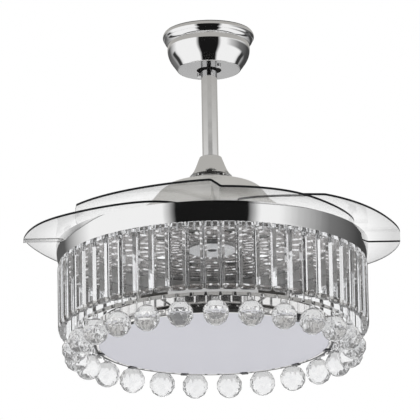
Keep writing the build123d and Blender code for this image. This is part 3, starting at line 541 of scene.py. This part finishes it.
def make_floor():
    """Pale floor. Rays from below pass it, and so do those that a polished face has thrown back."""
    mesh = bpy.data.meshes.new("floor")
    corners = [(x * FLOOR_HALF_SIZE, y * FLOOR_HALF_SIZE, -FLOOR_DEPTH) for x, y in FLOOR_CORNERS]
    mesh.from_pydata(corners, [], [(0, 1, 2, 3)])
    floor = bpy.data.objects.new("floor", mesh)
    scene.collection.objects.link(floor)
    material, tree = new_material("pale_floor")
    cloud = tree.noise(tree.place(), scale=1.5)
    matt = tree.surface({"Base Color": tree.mix_colour(cloud, grey(0.86), grey(0.83)), "Roughness": 0.8})
    behind = tree.add("ShaderNodeNewGeometry").outputs["Backfacing"]
    is_open = tree.math("MAXIMUM", behind, tree.is_mirrored())
    clear = tree.add("ShaderNodeBsdfTransparent").outputs[0]
    mesh.materials.append(finish_material(material, tree, tree.blend(is_open, matt, clear)))


def make_world():
    """White for the camera and for what clear pieces let pass. Polished pieces see a room. It has white
    walls, a grey ceiling, and a dark rear with a low glow right behind the part. A black gap stands at
    the camera's side, a dark seam in each wall, and a curtain on the right darkens towards the rear.
    What a mirroring face shows through a clear piece is this room with a white rear and no curtain."""
    world = bpy.data.worlds.new("studio")
    world.use_nodes = True
    scene.world = world
    tree = Nodes(world.node_tree)
    sides = tree.split(tree.add("ShaderNodeTexCoord").outputs["Generated"])
    turn = tree.math("ARCTAN2", sides["X"], tree.math("MULTIPLY", sides["Y"], -1.0))
    aside = tree.math("DIVIDE", tree.math("ABSOLUTE", turn), math.pi)
    height = tree.math("ADD", tree.math("DIVIDE", tree.math("ARCSINE", sides["Z"]), math.pi), RAMP_MIDDLE)

    def by_height(table):
        return tree.ramp(height, [(degrees / HALF_TURN + RAMP_MIDDLE, level) for degrees, level in table])

    def by_side(table):
        return tree.ramp(aside, [(degrees / HALF_TURN, level) for degrees, level in table])

    def patch(span, reach):
        return tree.math("MULTIPLY", by_side(span), by_height(reach))

    gap = patch(GAP_SPAN, GAP_REACH)
    is_rear = by_side(REAR_SPAN)
    rear = tree.mix_colour(patch(GLOW_SPAN, GLOW_REACH), by_height(REAR), grey(1.0))
    room = tree.mix_colour(is_rear, by_height(WALLS), rear)
    room = tree.mix_colour(patch(SEAM_SPAN, SEAM_REACH), room, grey(SEAM_LEVEL))
    is_curtain = tree.math("MULTIPLY", by_height(CURTAIN_REACH), tree.above(sides["X"], 0.0))
    curtained = tree.mix_colour(is_curtain, room, by_side(CURTAIN))
    polished = tree.mix_colour(gap, curtained, grey(GAP_LEVEL))
    facets = tree.mix_colour(is_rear, tree.mix_colour(gap, room, grey(GAP_LEVEL)), grey(1.0))
    through = tree.mix_colour(tree.is_mirrored(), grey(1.0), facets)
    paths = tree.add("ShaderNodeLightPath").outputs
    seen = tree.mix_colour(paths["Is Glossy Ray"], grey(MATT_LEVEL), polished)
    seen = tree.mix_colour(paths["Is Transmission Ray"], seen, through)
    seen = tree.mix_colour(paths["Is Camera Ray"], seen, grey(1.0))
    background = tree.add("ShaderNodeBackground", None, {"Color": seen, "Strength": 1.0})
    tree.add("ShaderNodeOutputWorld", None, {"Surface": background.outputs[0]})


def area_light(name, place, size, power):
    """Square lamp that lights the part and is not itself seen in polished or clear pieces."""
    data = bpy.data.lights.new(name, "AREA")
    data.size = size
    data.energy = power
    light = bpy.data.objects.new(name, data)
    light.location = place
    light.rotation_euler = (Vector(LIGHT_TARGET) - Vector(place)).to_track_quat("-Z", "Y").to_euler()
    light.visible_glossy = False
    light.visible_transmission = False
    scene.collection.objects.link(light)


def clip_profile():
    """Outline of a clip as radius and height: a foot under the tray's lip and a leg up its wall."""
    low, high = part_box("led_tray")
    toe_r = high[0] - CLIP_REACH
    wall_r = high[0] + CLIP_GAP
    back_r = wall_r + CLIP_THICKNESS
    foot_top = low[2] - CLIP_GAP
    foot_bottom = foot_top - CLIP_THICKNESS
    leg_top = low[2] + CLIP_RISE
    return [(toe_r, foot_top), (toe_r, foot_bottom), (back_r, foot_bottom), (back_r, leg_top),
            (wall_r, leg_top), (wall_r, foot_top)]


def clip_mesh(name, profile, azimuth):
    """The profile drawn out to the clip's width, its edges rounded, turned about the axis."""
    shape = bmesh.new()
    near = [shape.verts.new((radius, -CLIP_WIDTH / 2, z)) for radius, z in profile]
    far = [shape.verts.new((radius, CLIP_WIDTH / 2, z)) for radius, z in profile]
    shape.faces.new(near)
    shape.faces.new(list(reversed(far)))
    for index in range(len(profile)):
        after = (index + 1) % len(profile)
        shape.faces.new((near[after], near[index], far[index], far[after]))
    bmesh.ops.recalc_face_normals(shape, faces=shape.faces)
    bmesh.ops.bevel(shape, geom=shape.edges[:], offset=CLIP_EDGE, segments=CLIP_EDGE_STEPS,
                    affect="EDGES")
    shape.transform(Matrix.Rotation(azimuth, 4, "Z"))
    mesh = bpy.data.meshes.new(name)
    shape.to_mesh(mesh)
    shape.free()
    return mesh


def make_clips():
    """Small bent clips that hold the diffuser's edge to the tray."""
    profile = clip_profile()
    material = satin_paint("clip_metal", (0.06, 0.06, 0.065, 1), metallic=0.7, rough=0.35)
    for number in range(CLIP_COUNT):
        name = f"diffuser_clip_{number + 1}"
        mesh = clip_mesh(name, profile, math.radians(CLIP_START + number * 360 / CLIP_COUNT))
        mesh.materials.append(material)
        clip = bpy.data.objects.new(name, mesh)
        scene.collection.objects.link(clip)
        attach(clip, "hanging_frame")


make_camera()
make_world()
make_floor()
for light in LIGHTS:
    area_light(*light)
dress_nodes()
make_clips()

scene.view_settings.view_transform = "Standard"
scene.view_settings.look = "None"
